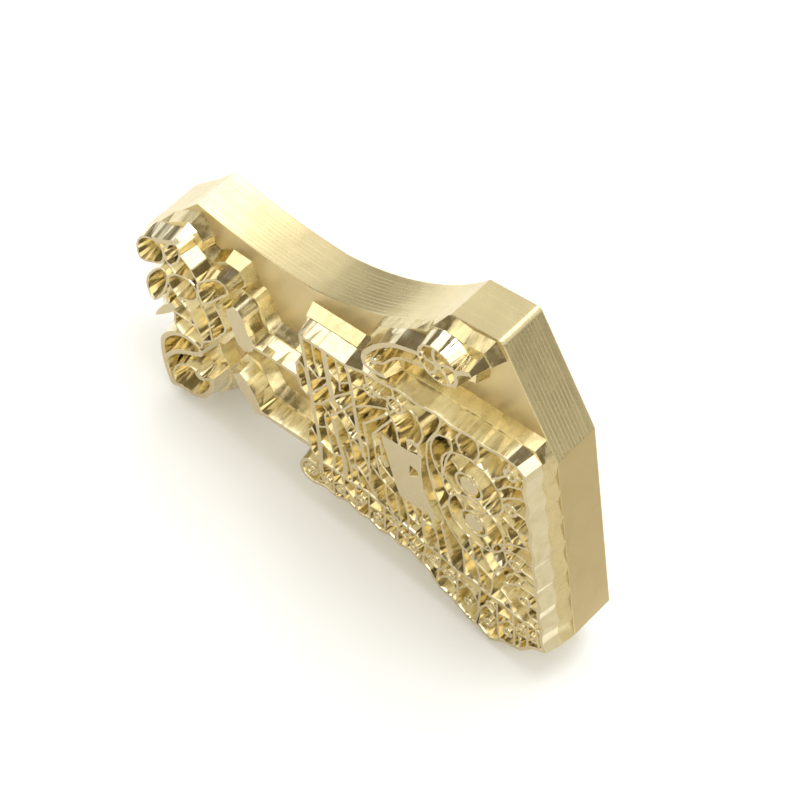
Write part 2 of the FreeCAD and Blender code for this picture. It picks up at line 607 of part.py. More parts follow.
def border_beads():
    """Row of small rings and cross strokes in the pockets of the border."""
    at = ((-50.6, 7.2), (-47.6, 7.0), (-42.2, 8.6), (-38.8, 6.4), (-35.2, 8.4), (-30.6, 4.8), (-25.9, 4.9))
    at += ((-22.4, 3.6), (-18.8, -1.4), (-14.6, -3.6), (-13.4, 2.4), (-10.2, -2.8), (-6.6, 1.6), (-4.2, 0.6))
    strokes = [[(-52.8, 8.8), (-51.6, 6.4), (-53.4, 5.4)], [(-45.6, 8.0), (-42.8, 6.2)]]
    strokes += [[(-40.6, 8.2), (-37.2, 8.6)], [(-33.0, 6.2), (-31.4, 7.4)], [(-24.8, 3.2), (-21.4, 1.6)]]
    strokes += [[(-20.8, 4.0), (-16.2, 3.2)], [(-12.2, 1.2), (-8.6, 2.0)], [(-8.4, -0.8), (-5.6, -0.6)]]
    return joined([ring(p, 0.85, 0.24) for p in at] + [line(s) for s in strokes])


def border_scallops():
    """Hoops between the ties."""
    hoops = [[(-36.8, 5.4), (-34.9, 7.4), (-32.4, 5.4)], [(-30.0, 2.2), (-28.4, 4.6), (-25.7, 2.6)]]
    hoops.append([(-20.8, 0.8), (-18.6, 3.6), (-16.6, 1.0), (-16.4, -2.6), (-17.4, -6.4)])
    hoops.append([(-16.4, -1.6), (-14.6, 1.4), (-12.2, -1.2)])
    hoops.append([(-12.2, -1.8), (-9.6, 1.0), (-7.4, -1.4), (-7.8, -5.2)])
    hoops.append([(-25.2, 0.4), (-23.2, 2.2), (-21.3, -0.2)])
    hoops.append([(-48.8, 8.2), (-46.6, 9.2), (-44.2, 7.0)])
    return joined([line(h) for h in hoops])


def pocket_veins():
    """Short strokes that fill the wide pocket under the rings."""
    veins = [line([(-31.4, 17.4), (-30.8, 12.6), (-31.4, 9.2)])]
    veins.append(line([(-25.2, 17.4), (-24.2, 12.4), (-24.4, 7.4)]))
    veins.append(line([(-31.0, 13.8), (-28.4, 12.4), (-26.6, 14.4), (-24.6, 14.6)]))
    veins.append(line([(-22.2, 21.6), (-20.6, 17.6), (-18.4, 14.2), (-18.8, 6.2)]))
    veins.append(line([(-18.6, 14.8), (-15.4, 12.6), (-12.2, 10.4)]))
    veins.append(line([(-35.2, 17.9), (-35.6, 14.2), (-34.6, 10.4)]))
    veins.append(line([(-29.4, 17.4), (-28.6, 14.8), (-29.4, 12.6)]))
    veins.append(line([(-27.0, 17.4), (-27.6, 11.0), (-26.6, 7.6)]))
    veins.append(line([(-33.2, 17.4), (-33.0, 13.2), (-32.8, 9.6)]))
    veins.append(line([(-22.8, 17.2), (-22.2, 12.0), (-21.6, 6.6)]))
    veins.append(line([(-16.6, 18.2), (-15.8, 15.2), (-16.4, 12.8)]))
    veins.append(line([(-14.0, 18.4), (-13.0, 14.6), (-10.8, 12.8)]))
    veins.append(line([(-15.8, 12.6), (-15.2, 9.0), (-15.8, 5.8)]))
    veins.append(line([(-10.6, 9.4), (-8.6, 7.2), (-8.4, 4.4)]))
    return joined(veins)


# ---- top ornament -------------------------------------------------------------------
def top_curl():
    upper = [(-31.0, 49.4), (-33.2, 48.9), (-35.4, 49.4), (-35.2, 51.8), (-33.2, 54.6), (-30.5, 57.3)]
    upper += [(-27.0, 59.6), (-22.0, 61.2)]
    lower = [(-33.0, 51.8), (-31.0, 52.4), (-29.2, 54.6), (-26.2, 57.2), (-21.6, 58.2)]
    return joined([line(upper, BAND), line(lower), cone((-33.2, 51.6), 0.8)])


def rosette():
    """Ring with five petals round a small boss."""
    centre = (-18.3, 61.1)
    pieces = [ring(centre, ROSETTE_R), cone(centre, 0.9)]
    for i in range(5):
        a = math.radians(72 * i + 20)
        tip = (centre[0] + ROSETTE_R * math.cos(a), centre[1] + ROSETTE_R * math.sin(a))
        mid = (centre[0] + 2.1 * math.cos(a + 0.25), centre[1] + 2.1 * math.sin(a + 0.25))
        pieces.append(line([centre, mid, tip], 0.3))
    return joined(pieces)


def rosette_tail():
    tail = [line([(-14.6, 62.0), (-12.8, 63.2), (-11.0, 64.2)], BAND)]
    tail.append(line([(-16.2, 57.8), (-14.8, 58.6), (-14.0, 60.9)]))
    return joined(tail)


# ---- assembly -----------------------------------------------------------------------
PLATEAUS = [leaf_plateau, scroll_plateau, bar_plateaus, body_plateau, curl_plateau]
ORNAMENT = [
    upper_leaf, second_leaf, round_loop, narrow_leaf, link_loop, tongue, stem_lines,
    scroll_band, scroll_hook, upper_crescent, lower_crescent, upper_bar, lower_bar,
    frame_top, frame_right, border_line, lower_edge, long_rib, slot_loops, column_ribs,
    lattice, notched_plate, upper_ring, lower_ring, upper_ring_boss, lower_ring_boss,
    leaf_arcs, side_leaf, bead_rings, fan_lines, bead_ties, border_ties,
    border_scallops, border_beads, pocket_veins, top_curl, rosette, rosette_tail,
]


def reaches(a, b):
    """True when the two boxes touch."""
    grown_box = FreeCAD.BoundBox(a.BoundBox)
    grown_box.enlarge(0.01)
    return grown_box.intersect(b.BoundBox)


def without(shape, earlier):
    """The shape less the earlier shapes of its own stage, so that they meet face to face."""
    near = [e for e in earlier if reaches(e, shape)]
    rest = shape.cut(near).removeSplitter() if near else shape
    return Part.makeCompound([s for s in rest.Solids if s.Volume > CRUMB])


def stage_nodes(makers):
    nodes = {}
    limit = block_prism(-1.0, RELIEF + 1.0)
    for maker in makers:
        shape = without(maker(), list(nodes.values()))
        nodes[maker.__name__] = shape.common(limit).removeSplitter()
    return nodes


def feet_shift():
    """Moves the leaning part so that the origin is the bottom centre of its box."""
    points = []
    for edge in block_edges():
        for v in edge.Vertexes:
            a = math.radians(LEAN)
            x = v.X * math.cos(a) - v.Y * math.sin(a)
            z = v.X * math.sin(a) + v.Y * math.cos(a)
            points.append((x, z))
    xs = [p[0] for p in points]
    return Vector(-(min(xs) + max(xs)) / 2, (RELIEF - BASE) / 2, -min(p[1] for p in points))


def place(shape):
    shape = shape.copy()
    shape.rotate(Vector(0, 0, 0), Vector(0, 0, 1), LEAN)
    shape.rotate(Vector(0, 0, 0), Vector(1, 0, 0), 90)
    shape.translate(feet_shift())
    return shape


def main():
    os.makedirs("parts", exist_ok=True)
    nodes = {"base_block": base_block()}
    nodes.update(stage_nodes(PLATEAUS))
    nodes.update(stage_nodes(ORNAMENT))
    for name, shape in nodes.items():
        shape = place(shape)
        solids = shape.Solids
        node = Part.makeCompound(solids) if len(solids) > 1 else solids[0]
        node.exportStep(os.path.join("parts", name + ".step"))
        print(name, len(solids), round(node.Volume, 2), node.isValid())


main()
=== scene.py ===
"""Milled brass stamping die for leather: block, plateaus, ornament and studio.

Metres, +Z up, printing side toward -Y, standing on the floor at z = 0.
"""
import json
import math

import bmesh
import bpy
from mathutils import Matrix, Vector, noise


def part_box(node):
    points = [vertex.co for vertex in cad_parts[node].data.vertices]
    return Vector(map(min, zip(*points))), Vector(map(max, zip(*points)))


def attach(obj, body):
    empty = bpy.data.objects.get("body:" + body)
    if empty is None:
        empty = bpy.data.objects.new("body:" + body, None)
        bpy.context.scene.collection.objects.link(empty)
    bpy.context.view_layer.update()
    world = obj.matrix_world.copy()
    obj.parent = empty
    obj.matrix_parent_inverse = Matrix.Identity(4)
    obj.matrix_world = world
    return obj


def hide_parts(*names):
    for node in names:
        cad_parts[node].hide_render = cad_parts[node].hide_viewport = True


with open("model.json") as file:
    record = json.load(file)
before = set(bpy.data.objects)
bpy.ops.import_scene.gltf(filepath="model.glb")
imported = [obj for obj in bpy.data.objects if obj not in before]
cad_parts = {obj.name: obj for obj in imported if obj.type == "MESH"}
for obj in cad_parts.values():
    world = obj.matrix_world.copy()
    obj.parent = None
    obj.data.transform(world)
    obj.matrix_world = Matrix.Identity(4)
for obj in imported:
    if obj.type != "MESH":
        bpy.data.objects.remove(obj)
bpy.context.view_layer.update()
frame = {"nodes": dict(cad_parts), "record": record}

bl_info = {
    "name": "Leather Stamping Die",
    "version": (1, 0, 0),
    "blender": (4, 5, 0),
    "location": "View3D > Sidebar > Die",
    "description": "Builds a milled brass leather stamping die on its packed frame",
    "category": "Object",
}

MM = 0.001
PRINT_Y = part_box("notched_plate")[0].y      # the printing face
STEP_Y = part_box("notched_plate")[1].y       # top of the plateaus
FLOOR_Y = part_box("body_plateau")[1].y       # floor of the relief
BACK_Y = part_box("base_block")[1].y          # back of the block
RIGHT_END = Vector((0.984, 0.0, 0.178))     # normal of the right end
CAMERA_PLACE = Vector((0.17939, -0.20953, 0.45403))
CAMERA_RIGHT = Vector((0.7407, 0.67115, 0.03043))
CAMERA_BACK = Vector((0.34766, -0.42166, 0.83746))


# ---- settings -----------------------------------------------------------------------
class DieSizes(bpy.types.PropertyGroup):
    edge_break: bpy.props.FloatProperty(
        name="Edge break", description="Width of the broken edges of the printing face",
        default=0.05 * MM, unit="LENGTH")
    rim_break: bpy.props.FloatProperty(
        name="Rim break", description="Width of the broken edges of the block",
        default=0.22 * MM, unit="LENGTH")
    step_pitch: bpy.props.FloatProperty(
        name="Step pitch", description="Distance between the cutter steps on the sides of the block",
        default=0.77 * MM, unit="LENGTH")
    step_depth: bpy.props.FloatProperty(
        name="Step depth", description="Depth of the cutter steps on the sides of the block",
        default=0.030 * MM, unit="LENGTH")
    floor_half: bpy.props.FloatProperty(
        name="Floor size", description="Half the width of the studio floor",
        default=0.6, unit="LENGTH")


class DieColours(bpy.types.PropertyGroup):
    block: bpy.props.FloatVectorProperty(
        name="Block", description="Brass of the block", default=(0.74, 0.635, 0.36),
        subtype="COLOR", size=3)
    plateau: bpy.props.FloatVectorProperty(
        name="Plateau", description="Brass of the plateaus", default=(0.74, 0.635, 0.36),
        subtype="COLOR", size=3)
    relief: bpy.props.FloatVectorProperty(
        name="Relief", description="Brass of the line walls", default=(0.81, 0.735, 0.51),
        subtype="COLOR", size=3)
    face: bpy.props.FloatVectorProperty(
        name="Printing face", description="Matte brass of the printing face",
        default=(0.565, 0.48, 0.30), subtype="COLOR", size=3)
    # Darker brass for the real tarnish patches and pits, and also the colour of the painted shade on the
    # block's front and right end
    tarnish_and_shade: bpy.props.FloatVectorProperty(
        name="Tarnish", description="Darker brass in patches and pits",
        default=(0.50, 0.38, 0.19), subtype="COLOR", size=3)
    studio: bpy.props.FloatVectorProperty(
        name="Studio", description="Floor and walls of the studio", default=(0.94, 0.96, 0.985),
        subtype="COLOR", size=3)


# ---- materials ----------------------------------------------------------------------
class Graph:
    """What the material and the studio node trees have in common."""

    def __init__(self, tree):
        self.tree = tree

    def add(self, kind, **values):
        node = self.tree.nodes.new(kind)
        for key, value in values.items():
            setattr(node, key, value)
        return node

    def link(self, source, target):
        self.tree.links.new(source, target)

    def feed(self, sockets, values):
        """Sets each socket from a plain value, or links it to another node's output."""
        for socket, value in zip(sockets, values):
            if isinstance(value, (int, float, tuple)):
                socket.default_value = value
            elif value is not None:
                self.link(value, socket)

    def maths(self, operation, a, b=None):
        node = self.add("ShaderNodeMath", operation=operation)
        self.feed(node.inputs, (a, b))
        return node.outputs["Value"]

    def mix(self, factor, a, b):
        node = self.add("ShaderNodeMix", data_type="RGBA")
        self.link(factor, node.inputs["Factor"])
        self.feed((node.inputs[6], node.inputs[7]), (a, b))
        return node.outputs[2]

    def dot(self, source, direction):
        node = self.add("ShaderNodeVectorMath", operation="DOT_PRODUCT")
        node.inputs[1].default_value = direction
        self.link(source, node.inputs[0])
        return node.outputs["Value"]


class Finish(Graph):
    """A metal finish: a Principled shader and the patterns that feed it."""

    def __init__(self, name):
        self.material = bpy.data.materials.new(name)
        self.material.use_nodes = True
        super().__init__(self.material.node_tree)
        self.shader = self.tree.nodes["Principled BSDF"]

    def coordinates(self, scale):
        place = self.add("ShaderNodeTexCoord")
        mapping = self.add("ShaderNodeMapping")
        mapping.inputs["Scale"].default_value = scale
        self.link(place.outputs["Object"], mapping.inputs["Vector"])
        return mapping.outputs["Vector"]

    def noise(self, scale, detail=4.0, stretch=(1.0, 1.0, 1.0), distortion=0.0):
        tex = self.add("ShaderNodeTexNoise")
        tex.inputs["Scale"].default_value = scale
        tex.inputs["Detail"].default_value = detail
        tex.inputs["Distortion"].default_value = distortion
        self.link(self.coordinates(stretch), tex.inputs["Vector"])
        return tex.outputs["Fac"]

    def spread(self, value, low, high, out_low=0.0, out_high=1.0):
        node = self.add("ShaderNodeMapRange")
        node.inputs["From Min"].default_value = low
        node.inputs["From Max"].default_value = high
        node.inputs["To Min"].default_value = out_low
        node.inputs["To Max"].default_value = out_high
        self.link(value, node.inputs["Value"])
        return node.outputs["Result"]

    def bump(self, height, distance, strength=1.0, normal=None):
        node = self.add("ShaderNodeBump")
        node.inputs["Distance"].default_value = distance
        node.inputs["Strength"].default_value = strength
        self.link(height, node.inputs["Height"])
        if normal is not None:
            self.link(normal, node.inputs["Normal"])
        return node.outputs["Normal"]

    def vector(self, operation, a, b=None):
        node = self.add("ShaderNodeVectorMath", operation=operation)
        self.feed(node.inputs, (a, b))
        return node.outputs["Vector"]

    def facets(self, scale, tilt, lean, amount):
        """Normal of a wall left by a cutter: narrow facets along the depth, tilted a little each."""
        cells = self.add("ShaderNodeTexVoronoi")
        cells.inputs["Scale"].default_value = scale
        self.link(self.coordinates((1.0, 0.02, 1.0)), cells.inputs["Vector"])
        spin = self.vector("SUBTRACT", cells.outputs["Color"], (0.5, 0.5, 0.5))
        turn = self.vector("MULTIPLY", spin, (tilt, 0.0, tilt))
        turn = self.vector("ADD", turn, (0.0, -lean, 0.0))
        scaled = self.add("ShaderNodeVectorMath", operation="SCALE")
        self.link(turn, scaled.inputs[0])
        self.link(amount, scaled.inputs["Scale"])
        geometry = self.add("ShaderNodeNewGeometry")
        tilted = self.vector("ADD", geometry.outputs["Normal"], scaled.outputs["Vector"])
        return self.vector("NORMALIZE", tilted)

    def facing(self, direction, low, high):
        """1 where the surface faces the direction."""
        geometry = self.add("ShaderNodeNewGeometry")
        return self.spread(self.dot(geometry.outputs["True Normal"], direction), low, high)

    def facing_front(self):
        """1 where the surface faces the printing side, 0 on the walls."""
        geometry = self.add("ShaderNodeNewGeometry")
        split = self.add("ShaderNodeSeparateXYZ")
        self.link(geometry.outputs["Normal"], split.inputs["Vector"])
        return self.spread(self.maths("ABSOLUTE", split.outputs["Y"]), 0.90, 0.97)


def rgba(colour):
    return (colour[0], colour[1], colour[2], 1.0)


def wall_brass(name, colour, face, tarnish_and_shade, wall_rough, face_rough, facet, tilt):
    """Bright drafted walls with cutter streaks, and a matte front with pits."""
    n = Finish(name)
    n.shader.inputs["Metallic"].default_value = 1.0
    front = n.facing_front()
    patches = n.spread(n.noise(420.0, 5.0, distortion=0.6), 0.42, 0.72)
    wall = n.mix(n.maths("MULTIPLY", patches, 0.35), rgba(colour), rgba(tarnish_and_shade))
    mottled = n.spread(n.noise(900.0, 6.0), 0.35, 0.75)
    matte = n.mix(n.maths("MULTIPLY", mottled, 0.25), rgba(face), rgba(tarnish_and_shade))
    n.link(n.mix(front, wall, matte), n.shader.inputs["Base Color"])
    gloss = n.spread(n.noise(700.0, 3.0), 0.3, 0.7, wall_rough * 0.7, wall_rough * 1.5)
    dull = n.spread(n.noise(1600.0, 4.0), 0.3, 0.7, face_rough * 0.85, face_rough * 1.15)
    rough = n.maths("ADD", n.maths("MULTIPLY", gloss, n.maths("SUBTRACT", 1.0, front)),
                    n.maths("MULTIPLY", dull, front))
    n.link(rough, n.shader.inputs["Roughness"])
    streaks = n.noise(2600.0, 3.0, stretch=(1.0, 0.03, 1.0))
    waves = n.noise(420.0, 1.0, stretch=(1.0, 0.04, 1.0))
    pits = n.spread(n.noise(3200.0, 2.0), 0.28, 0.40)
    walls = n.maths("SUBTRACT", 1.0, front)
    cut = n.facets(facet, tilt, 0.06, walls)
    low = n.bump(n.maths("MULTIPLY", waves, walls), 0.16 * MM, 1.0, cut)
    mid = n.bump(n.maths("MULTIPLY", streaks, walls), 0.012 * MM, 1.0, low)
    n.link(n.bump(n.maths("MULTIPLY", pits, front), 0.02 * MM, 0.6, mid), n.shader.inputs["Normal"])
    return n.material


def block_brass(name, colour, tarnish_and_shade):
    """Satin brass of the block: cutter lines along the sides, dull front and raw right end, both darkened
    with painted shade.
    """
    n = Finish(name)
    n.shader.inputs["Metallic"].default_value = 1.0
    front = n.facing_front()
    raw = n.facing(RIGHT_END, 0.985, 0.995)
    # Mask of the rougher front and raw right end, and also of their painted shade
    dull = n.maths("MAXIMUM", raw, n.maths("MULTIPLY", front, 0.95))
    patches = n.spread(n.noise(120.0, 6.0, distortion=0.8), 0.45, 0.75)
    unshaded_brass = n.mix(n.maths("MULTIPLY", patches, 0.30), rgba(colour), rgba(tarnish_and_shade))
    # Painted shade: the front and the right end are mixed toward the tarnish colour to stand in for their
    # darker reflections
    n.link(n.mix(n.maths("MULTIPLY", dull, 0.55), unshaded_brass, rgba(tarnish_and_shade)), n.shader.inputs["Base Color"])
    gloss = n.spread(n.noise(260.0, 5.0), 0.3, 0.7, 0.22, 0.30)
    n.link(n.maths("ADD", gloss, n.maths("MULTIPLY", dull, 0.22)), n.shader.inputs["Roughness"])
    lines = n.noise(500.0, 1.0, stretch=(0.02, 3.0, 0.02))
    grain = n.noise(1500.0, 3.0)
    side = n.bump(n.maths("MULTIPLY", lines, n.maths("SUBTRACT", 1.0, dull)), 0.012 * MM, 0.7)
    n.link(n.bump(n.maths("MULTIPLY", grain, dull), 0.04 * MM, 0.6, side), n.shader.inputs["Normal"])
    return n.material


def plain(name, colour, rough=0.9):
    n = Finish(name)
    n.shader.inputs["Base Color"].default_value = rgba(colour)
    n.shader.inputs["Roughness"].default_value = rough
    return n.material


def brass(slot_name):
    """The finish of a material slot, made once."""
    known = bpy.data.materials.get("finish_" + slot_name)
    if known:
        return known
    c = bpy.context.scene.die_colours
    if slot_name == "brass_block":
        return block_brass("finish_brass_block", c.block, c.tarnish_and_shade)
    if slot_name == "brass_plateau":
        return wall_brass("finish_brass_plateau", c.plateau, c.plateau, c.tarnish_and_shade, 0.22, 0.30, 260.0, 0.10)
    return wall_brass("finish_brass_relief", c.relief, c.face, c.tarnish_and_shade, 0.12, 0.46, 430.0, 0.20)


# ---- meshes -------------------------------------------------------------------------
def new_object(name, bm, material):
    for face in bm.faces:
        face.smooth = True
    mesh = bpy.data.meshes.new(name)
    bm.to_mesh(mesh)
    bm.free()
    mesh.set_sharp_from_angle(angle=math.radians(15.0))
    mesh.materials.append(material)
    obj = bpy.data.objects.new(name, mesh)
    bpy.context.scene.collection.objects.link(obj)
    return obj


def slot_of(node):
    for entry in frame["record"]["subparts"]:
        if entry["node"] == node:
            return entry["material_slot"]
    raise RuntimeError("no material slot for " + node)


def node_mesh(node):
    """Copy of a node's mesh with flat areas merged to single faces."""
    bm = bmesh.new()
    bm.from_mesh(frame["nodes"][node].data)
    bm.transform(frame["nodes"][node].matrix_world)
    bmesh.ops.remove_doubles(bm, verts=bm.verts, dist=1e-6)
    bmesh.ops.dissolve_limit(bm, angle_limit=math.radians(0.8), verts=bm.verts, edges=bm.edges)
    return bm


def key(vert):
    """A vertex's place on a 0.01 mm grid."""
    return tuple(round(c * 1e5) for c in vert.co)


def shared_points(names):
    """Points that occur in more than one node: the seams between them."""
    count = {}
    for name in names:
        bm = bmesh.new()
        bm.from_mesh(frame["nodes"][name].data)
        for place in {key(v) for v in bm.verts}:
            count[place] = count.get(place, 0) + 1
        bm.free()
    return {k for k, v in count.items() if v > 1}


def top_edges(bm, level, seams):
    """Convex edges on the plane y = level that aren't seams."""
    out = []
    for edge in bm.edges:
        if any(abs(v.co.y - level) > 2e-6 for v in edge.verts):
            continue
        if not edge.is_manifold or not edge.is_convex:
            continue
        if all(key(v) in seams for v in edge.verts):
            continue
        out.append(edge)
    return out


def dress(obj, node):
    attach(obj, "root")
    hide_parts(node)


def milled_copy(node, seams):
    """A node with its upper edges broken."""
    sizes = bpy.context.scene.die_sizes
    level = PRINT_Y if slot_of(node) == "brass_relief" else STEP_Y
    bm = node_mesh(node)
    edges = top_edges(bm, level, seams)
    if edges:
        bmesh.ops.bevel(bm, geom=edges, offset=sizes.edge_break, segments=2, profile=0.6,
                        affect="EDGES", clamp_overlap=True)
    obj = new_object(node + "_milled", bm, brass(slot_of(node)))
    dress(obj, node)
    return obj


def block_outline():
    """Outline of the block's front, in order."""
    bm = node_mesh("base_block")
    front = [f for f in bm.faces if f.normal.y < -0.99 and abs(f.calc_center_median().y - FLOOR_Y) < 1e-5]
    face = max(front, key=lambda f: f.calc_area())
    points = [Vector((v.co.x, 0.0, v.co.z)) for v in face.verts]
    bm.free()
    return divided(points)


def divided(points):
    """The outline with a point close to both ends of each long side."""
    out = []
    for a, b in zip(points, points[1:] + points[:1]):
        out.append(a)
        if (b - a).length > 3.0 * MM:
            step = (b - a).normalized() * 0.4 * MM
            out += [a + step, b - step]
    return out


def outward(points):
    """Mitred outward normals of an outline in the XZ plane."""
    area = sum(a.x * b.z - b.x * a.z for a, b in zip(points, points[1:] + points[:1]))
    sign = 1.0 if area > 0 else -1.0
    count = len(points)
    sides = []
    for i in range(count):
        d = (points[(i + 1) % count] - points[i]).normalized()
        sides.append(Vector((d.z, 0.0, -d.x)) * sign)
    out = []
    for i in range(count):
        a, b = sides[i - 1], sides[i]
        out.append((a + b) / (1.0 + a.dot(b)))
    return out


def on_raw_end(points):
    """True for the points of the right end, which is left as the stock came."""
    along = []
    for a, b in zip(points, points[1:] + points[:1]):
        upright = (b - a).normalized().cross(RIGHT_END).length > 0.995
        along.append(upright and a.x > 0.03)
    return [along[i - 1] or along[i] for i in range(len(points))]


def block_levels():
    """Depth and inset of each ring of the block's side, and whether it is a cutter step."""
    sizes = bpy.context.scene.die_sizes
    noise.seed_set(7)
    rim = sizes.rim_break
    levels = [(FLOOR_Y, rim * 0.35, False), (FLOOR_Y + rim * 0.35, 0.0, False)]
    y = FLOOR_Y + rim * 0.35
    stop = BACK_Y - rim - sizes.step_pitch
    count = max(2, round((stop - y) / sizes.step_pitch))
    pitch = (stop - y) / count
    for i in range(count):
        low = y + i * pitch
        deep = sizes.step_depth * (0.6 + 0.8 * noise.random())
        levels.append((low + pitch * 0.12, deep, True))
        levels.append((low + pitch * 0.55, 0.8 * deep, True))
        levels.append((low + pitch, 0.0, True))
    levels += [(BACK_Y - rim, 0.0, False), (BACK_Y - rim * 0.3, rim * 0.3, False), (BACK_Y, rim, False)]
    return levels


def add_hole(bm, back_ring, centre, radius, depth):
    """Back face with the tapped hole: chamfered mouth, threads and a drill tip."""
    sides = 48
    mouth, groove, pitch = 0.45 * MM, 0.42 * MM, 1.25 * MM
    rings = [(0.0, radius + mouth), (mouth, radius)]
    for i in range(int((depth - 1.2 * MM) / pitch)):
        base = mouth + i * pitch
        rings += [(base + 0.45 * MM, radius + groove), (base + 0.65 * MM, radius + groove),
                  (base + 1.15 * MM, radius), (base + pitch, radius)]
    rings += [(depth, radius), (depth + 1.1 * MM, 0.05 * MM)]
    loops = []
    for down, r in rings:
        loop = []
        for k in range(sides):
            a = 2 * math.pi * k / sides
            x, z = centre.x + r * math.cos(a), centre.z + r * math.sin(a)
            loop.append(bm.verts.new((x, BACK_Y - down, z)))
        loops.append(loop)
    for a, b in zip(loops, loops[1:]):
        for k in range(sides):
            bm.faces.new((a[k], a[(k + 1) % sides], b[(k + 1) % sides], b[k]))
    bm.faces.new(loops[-1])
    edges = []
    for ring in (back_ring, loops[0]):
        for a, b in zip(ring, ring[1:] + ring[:1]):
            edges.append(bm.edges.get((a, b)) or bm.edges.new((a, b)))
    bmesh.ops.triangle_fill(bm, edges=edges, use_beauty=True)


def hole_axis():
    """Centre, radius and depth of the tapped hole, from the record's mount."""
    for mount in frame["record"]["mounts"]:
        if mount["name"] == "handle_tap":
            return Vector(mount["pos_m"]), mount["dims"]["r_mm"] * MM, mount["dims"]["length_mm"] * MM
    raise RuntimeError("the tapped hole isn't in the record")


def stepped_block():
    """The block's own outline, swept through the cutter's step-downs."""
    points = block_outline()
    normals = outward(points)
    bm = bmesh.new()
    rings = []
    for y, inset, milled in block_levels():
        ring = []
        for p, n, raw in zip(points, normals, on_raw_end(points)):
            q = p - n * (0.0 if milled and raw else inset)
            ring.append(bm.verts.new((q.x, y, q.z)))
        rings.append(ring)
    count = len(points)
    for a, b in zip(rings, rings[1:]):
        for k in range(count):
            bm.faces.new((a[k], a[(k + 1) % count], b[(k + 1) % count], b[k]))
    bm.faces.new(rings[0])
    centre, radius, depth = hole_axis()
    add_hole(bm, rings[-1], centre, radius, depth)
    bmesh.ops.recalc_face_normals(bm, faces=bm.faces)
    obj = new_object("block_stepped", bm, brass("brass_block"))
    dress(obj, "base_block")
    return obj


# ---- operators ----------------------------------------------------------------------
class DieOperator:
    """Shared by the operators that dress a group of nodes."""

    nodes = ()

    def execute(self, context):
        missing = [n for n in self.nodes if n not in frame["nodes"]]
        if missing:
            raise RuntimeError("the frame has no node " + ", ".join(missing))
        seams = shared_points(frame["nodes"])
        for node in self.nodes:
            milled_copy(node, seams)
        return {"FINISHED"}


class DIE_OT_block(bpy.types.Operator):
    """Adds the block with its cutter steps, broken rims and tapped hole"""
    bl_idname = "die.block"
    bl_label = "Block"

    def execute(self, context):
        stepped_block()
        return {"FINISHED"}


class DIE_OT_plateaus(DieOperator, bpy.types.Operator):
    """Adds the plateaus of the first milling stage"""
    bl_idname = "die.plateaus"
    bl_label = "Plateaus"
    nodes = ("leaf_plateau", "scroll_plateau", "bar_plateaus", "body_plateau", "curl_plateau")


class DIE_OT_leaves(DieOperator, bpy.types.Operator):
    """Adds the leaves, loops and stems of the left ornament"""
    bl_idname = "die.leaves"
    bl_label = "Leaves"
    nodes = ("upper_leaf", "second_leaf", "round_loop", "narrow_leaf", "link_loop", "tongue", "stem_lines")


class DIE_OT_scroll(DieOperator, bpy.types.Operator):
    """Adds the lower scroll"""
    bl_idname = "die.scroll"
    bl_label = "Scroll"
    nodes = ("scroll_band", "scroll_hook")


class DIE_OT_bars(DieOperator, bpy.types.Operator):
    """Adds the two bars with their crescents"""
    bl_idname = "die.bars"
    bl_label = "Bars"
    nodes = ("upper_crescent", "lower_crescent", "upper_bar", "lower_bar")


class DIE_OT_ribs(DieOperator, bpy.types.Operator):
    """Adds the ribs, slots, lattice and fan"""
    bl_idname = "die.ribs"
    bl_label = "Ribs"
    nodes = ("long_rib", "slot_loops", "column_ribs", "lattice", "fan_lines")


class DIE_OT_rings(DieOperator, bpy.types.Operator):
    """Adds the notched plate, the two rings, their bosses, arcs, leaf and beads"""
    bl_idname = "die.rings"
    bl_label = "Plate and rings"
    nodes = ("notched_plate", "upper_ring", "lower_ring", "upper_ring_boss", "lower_ring_boss",
             "leaf_arcs", "side_leaf", "bead_rings", "bead_ties", "pocket_veins")


class DIE_OT_border(DieOperator, bpy.types.Operator):
    """Adds the frame lines and the scalloped lower border"""
    bl_idname = "die.border"
    bl_label = "Frame and border"
    nodes = ("frame_top", "frame_right", "border_line", "lower_edge", "border_ties",
             "border_scallops", "border_beads")


class DIE_OT_crest(DieOperator, bpy.types.Operator):
    """Adds the curl and the rosette at the top"""
    bl_idname = "die.crest"
    bl_label = "Curl and rosette"
    nodes = ("top_curl", "rosette", "rosette_tail")


def aimed(obj, location, target):
    """Puts a light or a card in place, facing its target."""
    obj.location = location
    obj.rotation_mode = "QUATERNION"
    obj.rotation_quaternion = (Vector(target) - Vector(location)).to_track_quat("-Z", "Y")


def camera(context):
    """Long lens, in front of the printing side, to its right and above."""
    data = bpy.data.cameras.new("camera")
    data.lens = 135.0
    data.sensor_width = 36.0
    data.clip_start, data.clip_end = 0.01, 20.0
    data.dof.use_dof = False
    obj = bpy.data.objects.new("camera", data)
    right = CAMERA_RIGHT.normalized()
    back = CAMERA_BACK.normalized()
    turn = Matrix((right, back.cross(right), back)).transposed().to_4x4()
    obj.matrix_world = Matrix.Translation(CAMERA_PLACE) @ turn
    context.scene.collection.objects.link(obj)
    context.scene.camera = obj


def area_light(name, location, target, size, power):
    data = bpy.data.lights.new(name, "AREA")
    data.shape = "RECTANGLE"
    data.size, data.size_y = size
    data.energy = power
    obj = bpy.data.objects.new(name, data)
    bpy.context.scene.collection.objects.link(obj)
    aimed(obj, location, target)


def sheet(name, size, material):
    """Flat rectangle about its own middle."""
    bm = bmesh.new()
    half_x, half_y = size[0] / 2, size[1] / 2
    corners = ((-half_x, -half_y), (half_x, -half_y), (half_x, half_y), (-half_x, half_y))
    bm.faces.new([bm.verts.new((x, y, 0.0)) for x, y in corners])
    return new_object(name, bm, material)


def card(name, location, target, size, material):
    """Flat card that shows only in the brass."""
    obj = sheet(name, size, material)
    aimed(obj, location, target)
    obj.visible_camera = False
    obj.visible_diffuse = False
    obj.visible_shadow = False


